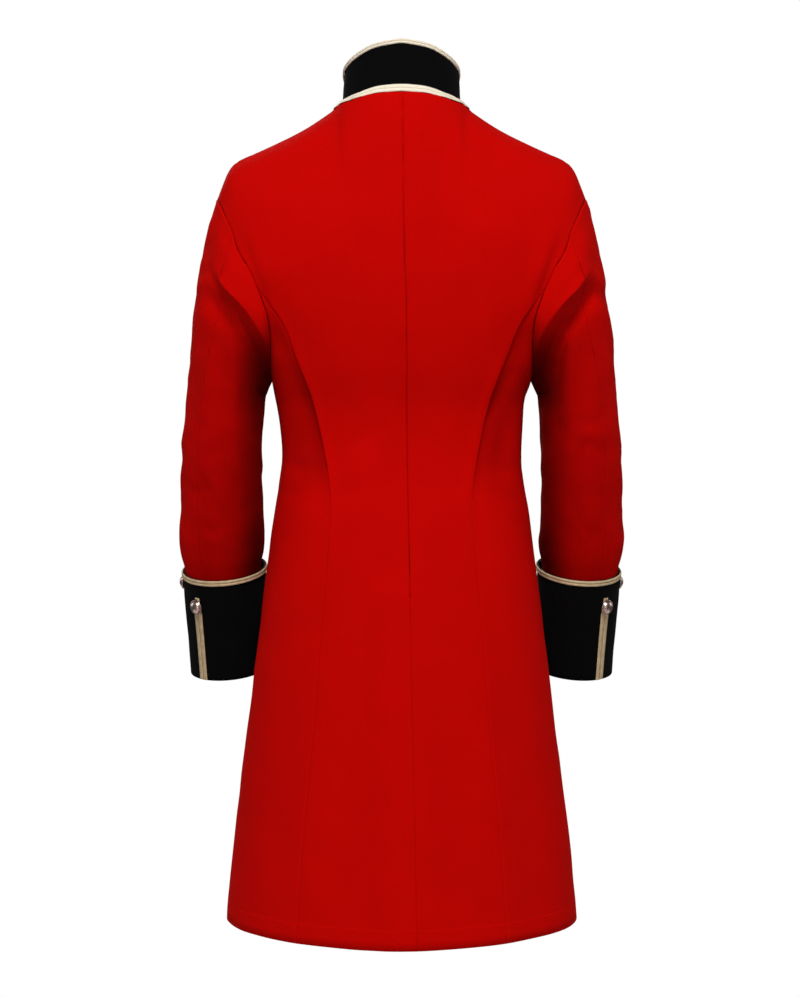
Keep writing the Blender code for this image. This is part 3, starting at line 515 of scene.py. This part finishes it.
# Depths under the nape between which the creases run out, and the sleeve swells and narrows again so that it
# fills the mouth of the cuff.
CREASES_END = (0.535, 0.560)
CUFF_FILL, FILL_BEGINS, FILL_ENDS = 0.0042, (0.495, 0.545), (0.590, 0.620)
SLEEVE_TURN_LENGTH = 0.053
SLEEVE_BACK_CREASES = (
    ("cap_wedge", 0.0060, -0.0044, ((0.2270, -0.112), (0.2200, -0.124), (0.2120, -0.135))),
    ("cap_ridge", 0.0110, 0.0024, ((0.2330, -0.150), (0.2200, -0.185), (0.2060, -0.215))),
    ("drape_lip", 0.0090, 0.0052, ((0.2500, -0.222), (0.2350, -0.216), (0.2210, -0.229), (0.2080, -0.249),
                                   (0.1950, -0.274), (0.1850, -0.300))),
    ("drape_hollow", 0.0105, -0.0078, ((0.2480, -0.244), (0.2330, -0.243), (0.2180, -0.256), (0.2020, -0.279),
                                       (0.1880, -0.303), (0.1800, -0.335), (0.1770, -0.372))),
    ("inner_fold", 0.0100, -0.0036, ((0.1930, -0.300), (0.1880, -0.350), (0.1900, -0.400))),
    ("inner_ridge", 0.0110, 0.0026, ((0.2080, -0.290), (0.2030, -0.350), (0.2050, -0.420), (0.2040, -0.500))),
    ("outer_fold", 0.0130, -0.0026, ((0.2480, -0.275), (0.2530, -0.330), (0.2560, -0.390))),
    ("outer_ridge", 0.0140, 0.0020, ((0.2360, -0.270), (0.2390, -0.330), (0.2400, -0.400))),
    ("elbow_dent", 0.0100, -0.0020, ((0.2180, -0.388), (0.2320, -0.398), (0.2460, -0.394))),
    ("elbow_dent_low", 0.0090, -0.0019, ((0.2150, -0.430), (0.2280, -0.424), (0.2420, -0.436))),
    ("elbow_swell", 0.0130, 0.0018, ((0.2200, -0.410), (0.2380, -0.412), (0.2550, -0.420))),
    ("forearm_fold", 0.0090, -0.0020, ((0.2060, -0.470), (0.2120, -0.510), (0.2080, -0.545))),
    ("forearm_dent", 0.0100, -0.0020, ((0.2300, -0.470), (0.2440, -0.482), (0.2560, -0.478))),
    ("cuff_crumple", 0.0080, -0.0019, ((0.2180, -0.520), (0.2330, -0.530), (0.2480, -0.524))),
)
SLEEVE_FRONT_CREASES = (
    ("cap_pull", 0.0080, -0.0030, ((0.2240, -0.125), (0.2140, -0.150), (0.2050, -0.180))),
    ("front_drape_lip", 0.0100, 0.0034, ((0.2420, -0.250), (0.2220, -0.245), (0.2020, -0.260),
                                         (0.1860, -0.290))),
    ("front_drape", 0.0120, -0.0044, ((0.2450, -0.272), (0.2250, -0.268), (0.2050, -0.284),
                                      (0.1900, -0.315))),
    ("long_fold", 0.0110, -0.0028, ((0.2120, -0.300), (0.2080, -0.350), (0.2120, -0.395))),
    ("bend_fold", 0.0075, -0.0046, ((0.1930, -0.432), (0.2120, -0.440), (0.2330, -0.434))),
    ("bend_ridge", 0.0085, 0.0034, ((0.1900, -0.418), (0.2120, -0.424), (0.2380, -0.418))),
    ("bend_fold_low", 0.0080, -0.0036, ((0.1950, -0.462), (0.2150, -0.468), (0.2420, -0.456))),
    ("forearm_fold", 0.0100, -0.0022, ((0.2300, -0.490), (0.2260, -0.520), (0.2330, -0.548))),
)


def arm_outward(points, side):
    """The way out of a sleeve from the line down its middle."""
    line = np.array(ARM_LINE)[::-1]
    middle_x = np.interp(points[:, 2], line[:, 0], line[:, 1]) * side
    middle_y = np.interp(points[:, 2], line[:, 0], line[:, 2])
    out = np.stack([points[:, 0] - middle_x, points[:, 1] - middle_y, np.zeros(len(points))], axis=1)
    return out / np.maximum(np.linalg.norm(out, axis=1, keepdims=True), 1e-6)


for side, hand in ((1, "left"), (-1, "right")):
    for node, other, cut, area, first_turn in (
        ("sleeve_upper_" + hand, "sleeve_under_" + hand, (0.20, 0.61), 0.111, 0.3 - math.pi),
        ("sleeve_under_" + hand, "sleeve_upper_" + hand, (0.15, 0.55), 0.071, 3.5 - math.pi),
    ):
        piece = drawn_smooth(node)
        points = vertex_places(piece)
        way = arm_outward(points, side)
        behind = eased(way[:, 1], -0.15, 0.30)
        out = behind * crease_depth(points[:, 0], points[:, 2], SLEEVE_BACK_CREASES, side, 3.1)
        out += (1 - behind) * crease_depth(points[:, 0], points[:, 2], SLEEVE_FRONT_CREASES, side, 4.2)
        out += 0.0010 * ripples(points, 0.085, 1.0 + side) + 0.0005 * ripples(points, 0.045, 5.0 + side)
        out *= 1 - eased(-points[:, 2], *CREASES_END)
        fill = eased(-points[:, 2], *FILL_BEGINS) * (1 - eased(-points[:, 2], *FILL_ENDS))
        out += CUFF_FILL * eased(way[:, 0] * side, 0.2, 0.95) * fill
        body = ("back_" + hand, "side_" + hand, "front_" + hand)
        out *= run_out(points, body, 0.0004, 0.016)
        points = sewn(points, (*body, other))
        move_to(piece, points + way * out[:, None])
        # Painted shade: the colour darkens on the side of the sleeve that faces the body, from below the fold
        # under the armhole.
        painted_shade_share = np.interp(-way[:, 0] * side, *ARM_PAINTED_SHADE) * np.interp(-points[:, 2], *ARM_PAINTED_SHADE_DOWN)
        painted_shade(piece, painted_shade_share * eased(-points[:, 2] + 0.35 * (points[:, 0] * side - 0.215), 0.238, 0.300))
        turn = np.arctan2(way[:, 1], way[:, 0] * side)
        turn = np.where(turn < first_turn, turn + 2 * math.pi, turn)
        with_uv(piece, turn * SLEEVE_TURN_LENGTH, points[:, 2])
        finish_cloth(piece, node, red_cloth)

# Collar: a stiffened band of black cloth that stands round the neck, open at the throat.
COLLAR_TURN_LENGTH = 0.08
black_cloth, black_shader = cloth_material("black_facing_cloth", (0.0022, 0.0020, 0.0022), {
    "Thread Width": 0.0007, "Cloud Size": 0.03, "Cloud Depth": 0.25, "Fibre Depth": 0.25, "Hem Ridge": 0.0,
    "Painted Shade Depth": 0.0,
})
black_shader.inputs["Specular IOR Level"].default_value = 0.04
black_shader.inputs["Sheen Weight"].default_value = 0.008
piece = drawn_smooth("collar")
points = vertex_places(piece)
turn = np.arctan2(points[:, 0], points[:, 1])
spread = np.stack([points[:, 0], points[:, 1], np.zeros(len(points))], axis=1)
spread /= np.linalg.norm(spread, axis=1, keepdims=True)
out = 0.0004 * ripples(points, 0.07, 3.0) * eased(points[:, 2], 0.012, 0.03)
move_to(piece, points + spread * out[:, None])
with_uv(piece, turn * COLLAR_TURN_LENGTH, points[:, 2])
finish_cloth(piece, "collar", black_cloth)

# Cuffs: deep turn-backs of the same black cloth round the sleeve ends, stiff enough to stand off the sleeve.
CUFF_TURN_LENGTH = 0.055
for side, hand in ((1, "left"), (-1, "right")):
    node = "cuff_" + hand
    piece = drawn_smooth(node)
    points = vertex_places(piece)
    way = arm_outward(points, side)
    turn = np.arctan2(way[:, 1], way[:, 0] * side)
    out = 0.0003 * ripples(points, 0.08, 6.0 + side)
    move_to(piece, points + way * out[:, None])
    with_uv(piece, turn * CUFF_TURN_LENGTH, points[:, 2])
    finish_cloth(piece, node, black_cloth)

# Braid: flat gimp of two cords side by side, each plaited from cream or gold yarn, and stitched down along
# the collar and cuffs. Each follows its solid, a little wider where the photograph shows more of it.
PLAIT_PITCH = 0.0030
PLAIT_STEP = 0.0006
PLAIT_RELIEF = 0.26
PLAIT_SWELL = 0.035
GROOVE_PLACE = 0.010
COLLAR_MIDDLE = (0.0, 0.0)
RIM_MIDDLE = (0.2253, -0.0435)
CUFF_MIDDLE = (0.2246, -0.055)
# The solid has this many points in each section of a braid.
SECTION_POINTS = 7
# Across one cord, from the braid's edge to the groove: share of the braid's width, share of its height.
CORD_PROFILE = (
    (0.00, 0.10), (0.03, 0.55), (0.12, 0.90), (0.24, 1.05), (0.36, 0.92), (0.46, 0.58), (0.50, 0.34),
)


def gimp(name, dark, light, metallic):
    """Yarn wound over cord: fine slanting strands, worn patches and a dark line between the two cords."""
    material = bpy.data.materials.new(name)
    material.use_nodes = True
    yarn = material.node_tree
    shader = yarn.nodes["Principled BSDF"]
    place = yarn.nodes.new("ShaderNodeTexCoord")
    strands = yarn.nodes.new("ShaderNodeTexWave")
    strands.bands_direction = "DIAGONAL"
    strands.inputs["Scale"].default_value = 420.0
    strands.inputs["Distortion"].default_value = 2.0
    wear = yarn.nodes.new("ShaderNodeTexNoise")
    wear.inputs["Scale"].default_value = 160.0
    wear.inputs["Detail"].default_value = 3.0
    shares = yarn.nodes.new("ShaderNodeSeparateXYZ")
    colour = yarn.nodes.new("ShaderNodeMix")
    colour.data_type = "RGBA"
    colour.inputs["A"].default_value = (*dark, 1)
    colour.inputs["B"].default_value = (*light, 1)
    grooved = yarn.nodes.new("ShaderNodeMix")
    grooved.data_type = "RGBA"
    grooved.inputs["A"].default_value = (dark[0] * 0.25, dark[1] * 0.2, dark[2] * 0.2, 1)
    joined(
        yarn, place.outputs["UV"], strands.inputs["Vector"], place.outputs["Object"], wear.inputs["Vector"],
        place.outputs["UV"], shares.inputs["Vector"],
    )
    from_groove = maths(yarn, "ABSOLUTE", maths(yarn, "SUBTRACT", shares.outputs["Y"], GROOVE_PLACE))
    mix = maths(yarn, "ADD", maths(yarn, "MULTIPLY", strands.outputs["Fac"], 0.35), maths(
        yarn, "MULTIPLY", wear.outputs["Fac"], 0.85), clamp=True)
    bump = yarn.nodes.new("ShaderNodeBump")
    bump.inputs["Strength"].default_value = 0.5
    bump.inputs["Distance"].default_value = 0.0004
    joined(
        yarn, mix, colour.inputs["Factor"], colour.outputs["Result"], grooved.inputs["B"],
        maths(yarn, "MULTIPLY", from_groove, 900.0, clamp=True), grooved.inputs["Factor"],
        grooved.outputs["Result"], shader.inputs["Base Color"], strands.outputs["Fac"], bump.inputs["Height"],
        bump.outputs["Normal"], shader.inputs["Normal"],
    )
    shader.inputs["Roughness"].default_value = 0.6
    shader.inputs["Metallic"].default_value = metallic
    return material


gold_gimp = gimp("cream_gold_gimp", (0.30, 0.19, 0.08), (0.80, 0.62, 0.38), 0.25)
cream_gimp = gimp("cream_gimp", (0.78, 0.66, 0.47), (0.98, 0.90, 0.74), 0.0)


def braid_path(node, shape, centre):
    """Left foot, right foot and outward way of each section of the CAD braid, in their order."""
    closed = shape == "ring"
    bm = bmesh.new()
    bm.from_mesh(frame["nodes"][node].data)
    bmesh.ops.remove_doubles(bm, verts=bm.verts, dist=1e-6)
    points = np.array([v.co for v in bm.verts])
    bm.free()
    if shape == "strip":
        way = np.linalg.svd(points - points.mean(axis=0))[2][0]
        order = np.argsort(points @ way)
    else:
        order = np.argsort(np.arctan2(points[:, 0] - centre[0], points[:, 1] - centre[1]))
    sections = points[order].reshape(-1, SECTION_POINTS, 3)
    middles = sections.mean(axis=1)
    rows = []
    for k, section in enumerate(sections):
        before = middles[k - 1] if k or closed else middles[k]
        after = middles[(k + 1) % len(middles)] if k + 1 < len(middles) or closed else middles[k]
        along = (after - before) / np.linalg.norm(after - before)
        flat = section - middles[k]
        flat = flat - (flat @ along)[:, None] * along
        across = np.linalg.svd(flat)[2][0]
        # From the lower foot to the upper one, or towards +X where the braid runs up and down.
        towards = across[2] if abs(across[2]) > 0.5 else across[0]
        if towards < 0:
            across = -across
        out = np.cross(across, along)
        if (middles[k] - np.array([*centre, middles[k][2]])) @ out < 0:
            out = -out
        side_way = flat @ across
        height = flat @ out
        rows.append((
            middles[k] + across * side_way.min() + out * height.min(),
            middles[k] + across * side_way.max() + out * height.min(), out * (height.max() - height.min()),
        ))
    return np.array(rows)


def even_steps(rows, closed, step):
    """The path at even steps, on a smooth curve through its sections."""
    if closed:
        rows = np.concatenate([rows[-2:], rows, rows[:3]])
    else:
        rows = np.concatenate([rows[:1] * 2 - rows[1:2], rows, rows[-1:] * 2 - rows[-2:-1]])
    first, last = (2, len(rows) - 3) if closed else (1, len(rows) - 2)
    out = []
    for k in range(first, last):
        count = max(int(np.linalg.norm(rows[k + 1].mean(axis=0) - rows[k].mean(axis=0)) / step), 1)
        for j in range(count):
            t = j / count
            a, b, c, d = rows[k - 1], rows[k], rows[k + 1], rows[k + 2]
            out.append(0.5 * (2 * b + (c - a) * t + (2 * a - 5 * b + 4 * c - d) * t * t
                              + (3 * b - a - 3 * c + d) * t ** 3))
    if not closed:
        out.append(rows[last])
    return np.array(out)


def plaited_braid(node, shape, centre, yarn, wider=(0.0, 0.0), raised=0.0):
    """Plaits both cords along the CAD braid, its feet moved apart and out by these distances."""
    closed = shape == "ring"
    rows = even_steps(braid_path(node, shape, centre), closed, PLAIT_STEP)
    for row in rows:
        across = (row[1] - row[0]) / np.linalg.norm(row[1] - row[0])
        lift = row[2] / np.linalg.norm(row[2]) * raised
        row[0] += lift - across * wider[0]
        row[1] += lift + across * wider[1]
    profile = CORD_PROFILE + tuple((1 - share, height) for share, height in CORD_PROFILE[-2::-1])
    middle = (rows[:, 0] + rows[:, 1]) / 2
    length = np.concatenate([[0.0], np.cumsum(np.linalg.norm(np.diff(middle, axis=0), axis=1))])
    whole = length[-1] + (np.linalg.norm(middle[-1] - middle[0]) if closed else 0.0)
    pitch = whole / round(whole / PLAIT_PITCH)
    sections = []
    for (left, right, out), s in zip(rows, length):
        ring = [left]
        for share, height in profile:
            cord = (share * 2) % 1.0 if share < 1 else 1.0
            chevron = abs(cord - 0.5) * 1.3
            relief = 1 - PLAIT_RELIEF * (0.5 + 0.5 * math.cos(2 * math.pi * (s / pitch - chevron)))
            swell = 1 + PLAIT_SWELL * math.sin(2 * math.pi * s / pitch + (0 if share < 0.5 else 1.6))
            place = 0.5 + (share - 0.5) * swell
            ring.append(left + (right - left) * place + out * height * relief)
        ring.append(right)
        sections.append(ring)
    bm = bmesh.new()
    rings = [[bm.verts.new(p) for p in section] for section in sections]
    size = len(rings[0])
    for k in range(len(rings) if closed else len(rings) - 1):
        a, b = rings[k], rings[(k + 1) % len(rings)]
        for j in range(size):
            bm.faces.new([a[j], a[(j + 1) % size], b[(j + 1) % size], b[j]])
    if not closed:
        bm.faces.new(rings[0])
        bm.faces.new(rings[-1])
    bmesh.ops.recalc_face_normals(bm, faces=bm.faces)
    mesh = bpy.data.meshes.new(node + "_plait")
    bm.to_mesh(mesh)
    bm.free()
    piece = bpy.data.objects.new(node + "_plait", mesh)
    bpy.context.collection.objects.link(piece)
    mesh.shade_smooth()
    u = np.repeat(length, size)
    v = np.tile(np.linspace(0, 2 * GROOVE_PLACE, size), len(rings))
    with_uv(piece, u, v)
    mesh.materials.append(yarn)
    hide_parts(node)
    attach(piece, "root")


plaited_braid("collar_base_braid", "arc", COLLAR_MIDDLE, cream_gimp, (0.0016, 0.0002), 0.0004)
plaited_braid("collar_top_braid", "arc", COLLAR_MIDDLE, cream_gimp)
for side, hand in ((1, "left"), (-1, "right")):
    plaited_braid("cuff_rim_braid_" + hand, "ring", (RIM_MIDDLE[0] * side, RIM_MIDDLE[1]), gold_gimp)
    for strip in ("cuff_back_braid_", "cuff_side_braid_"):
        middle = (CUFF_MIDDLE[0] * side, CUFF_MIDDLE[1])
        plaited_braid(strip + hand, "strip", middle, gold_gimp, (0.0009, 0.0009))

# Buttons: stamped brass domes with a rolled rim and a fine groove, rubbed to a rosy shine on top and dull in
# the groove. One is turned from a disc and copied to each place.
brass = bpy.data.materials.new("rubbed_brass")
brass.use_nodes = True
metal = brass.node_tree
metal_shader = metal.nodes["Principled BSDF"]
metal_place = metal.nodes.new("ShaderNodeTexCoord")
tarnish = metal.nodes.new("ShaderNodeTexNoise")
tarnish.inputs["Scale"].default_value = 260.0
tarnish.inputs["Detail"].default_value = 5.0
joined(metal, metal_place.outputs["Object"], tarnish.inputs["Vector"])
metal_colour = metal.nodes.new("ShaderNodeMix")
metal_colour.data_type = "RGBA"
metal_colour.inputs["A"].default_value = (0.20, 0.11, 0.09, 1)
metal_colour.inputs["B"].default_value = (0.72, 0.54, 0.48, 1)
metal_rough = metal.nodes.new("ShaderNodeMapRange")
metal_rough.inputs["To Min"].default_value = 0.42
metal_rough.inputs["To Max"].default_value = 0.20
joined(
    metal, maths(metal, "ADD", maths(metal, "MULTIPLY", tarnish.outputs["Fac"], 1.5), -0.15, clamp=True),
    metal_colour.inputs["Factor"], metal_colour.outputs["Result"], metal_shader.inputs["Base Color"],
    tarnish.outputs["Fac"], metal_rough.inputs["Value"], metal_rough.outputs["Result"],
    metal_shader.inputs["Roughness"],
)
metal_shader.inputs["Metallic"].default_value = 1.0
BUTTON_RADIUS = 0.0096
BUTTON_HEIGHT = 0.0074
FOOT_SHARE = 0.93
# How the button is turned: each ring's step up, and its size as a share of the ring before it.
BUTTON_RINGS = (
    (0.0006, 1.075), (0.0012, 1.0), (0.0006, 0.965), (0.0000, 0.93), (-0.0006, 0.975), (0.0002, 0.965),
    (0.0010, 0.955), (0.0010, 0.90), (0.0009, 0.86), (0.0008, 0.80), (0.0006, 0.70), (0.00045, 0.55),
    (0.0002, 0.4),
)
bpy.ops.object.select_all(action="DESELECT")
bpy.ops.mesh.primitive_circle_add(
    vertices=48, radius=BUTTON_RADIUS * FOOT_SHARE, fill_type="NGON", location=(0, 0, 0))
pattern = bpy.context.object
pattern.name = "button_pattern"
bpy.ops.object.mode_set(mode="EDIT")
bpy.ops.mesh.select_mode(type="FACE")
bpy.ops.mesh.select_all(action="SELECT")
for lift, shrink in BUTTON_RINGS:
    bpy.ops.mesh.extrude_region_move(TRANSFORM_OT_translate={"value": (0, 0, lift)})
    bpy.ops.transform.resize(value=(shrink, shrink, 1), center_override=(0, 0, 0))
bpy.ops.mesh.poke()
bpy.ops.mesh.select_all(action="SELECT")
bpy.ops.mesh.normals_make_consistent(inside=False)
bpy.ops.object.mode_set(mode="OBJECT")
top = max(v.co.z for v in pattern.data.vertices)
pattern.data.transform(Matrix.Scale(BUTTON_HEIGHT / top, 4, (0, 0, 1)))
pattern.data.shade_smooth()
pattern.data.materials.append(brass)
for name, node in sorted(frame["nodes"].items()):
    if "button" not in name:
        continue
    places = np.array([v.co for v in node.data.vertices])
    middle = places.mean(axis=0)
    facing = np.linalg.svd(np.unique(places.round(6), axis=0) - middle)[2][2]
    if name.startswith("front"):
        inside = (0.0, 0.0, middle[2])
    else:
        inside = (CUFF_MIDDLE[0] * (1 if name.endswith("left") else -1), CUFF_MIDDLE[1], middle[2])
    if (middle - np.array(inside)) @ facing < 0:
        facing = -facing
    foot = middle + facing * ((places - middle) @ facing).min()
    turn = Vector(facing).to_track_quat("Z", "Y").to_matrix().to_4x4()
    mesh = pattern.data.copy()
    mesh.transform(Matrix.Translation(Vector(foot)) @ turn)
    piece = bpy.data.objects.new(name + "_dome", mesh)
    bpy.context.collection.objects.link(piece)
    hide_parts(name)
    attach(piece, "root")
bpy.data.objects.remove(pattern, do_unlink=True)

# Buttonholes: a close-stitched bar of red thread beside each front button, on the lap that the button passes
# through. Its bumps are the stitches.
silk = bpy.data.materials.new("buttonhole_silk")
silk.use_nodes = True
silk_shader = silk.node_tree.nodes["Principled BSDF"]
silk_shader.inputs["Base Color"].default_value = (0.12, 0.001, 0.002, 1)
silk_shader.inputs["Roughness"].default_value = 0.45
# How far from the button's middle the hole begins and ends, and the size of its bar.
HOLE_NEAR, HOLE_FAR = 0.004, 0.023
HOLE_LENGTH, HOLE_RADIUS, HOLE_FLATNESS = 0.020, 0.0014, 0.45
HOLE_ROUNDED_FROM = 0.0101
HOLE_CUTS = 39
STITCH_PITCH, STITCH_RELIEF = 0.0011, 0.10
for name, node in sorted(frame["nodes"].items()):
    if not name.startswith("front_button"):
        continue
    middle = np.array([v.co for v in node.data.vertices]).mean(axis=0)
    ends = middle + np.array([[HOLE_NEAR, 0.0, 0.0], [HOLE_FAR, 0.0, 0.0]])
    ends = nearest_wall(ends, ("front_left_piece",), bpy.data.objects)[0]
    long_way = (ends[1] - ends[0]) / np.linalg.norm(ends[1] - ends[0])
    face = np.cross(long_way, (0.0, 0.0, 1.0))
    bpy.ops.object.select_all(action="DESELECT")
    bpy.ops.mesh.primitive_cylinder_add(
        vertices=12, radius=HOLE_RADIUS, depth=HOLE_LENGTH, end_fill_type="TRIFAN")
    hole = bpy.context.object
    hole.name = name.replace("button", "buttonhole")
    bpy.ops.object.mode_set(mode="EDIT")
    for level in np.linspace(-HOLE_LENGTH / 2, HOLE_LENGTH / 2, HOLE_CUTS + 2)[1:-1]:
        bpy.ops.mesh.select_all(action="SELECT")
        bpy.ops.mesh.bisect(plane_co=(0, 0, level), plane_no=(0, 0, 1))
    bpy.ops.object.mode_set(mode="OBJECT")
    places = vertex_places(hole)
    stitch = 1 + STITCH_RELIEF * np.cos(2 * np.pi * places[:, 2] / STITCH_PITCH)
    rounded = np.sqrt(np.clip(1 - (np.abs(places[:, 2]) / HOLE_ROUNDED_FROM) ** 8, 0.05, 1)) * stitch
    places[:, :2] *= rounded[:, None]
    hole_axes = np.array([(0.0, 0.0, 1.0), face * HOLE_FLATNESS, long_way])
    move_to(hole, (ends[0] + ends[1]) / 2 + places @ hole_axes)
    hole.data.shade_smooth()
    hole.data.materials.append(silk)
    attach(hole, "root")
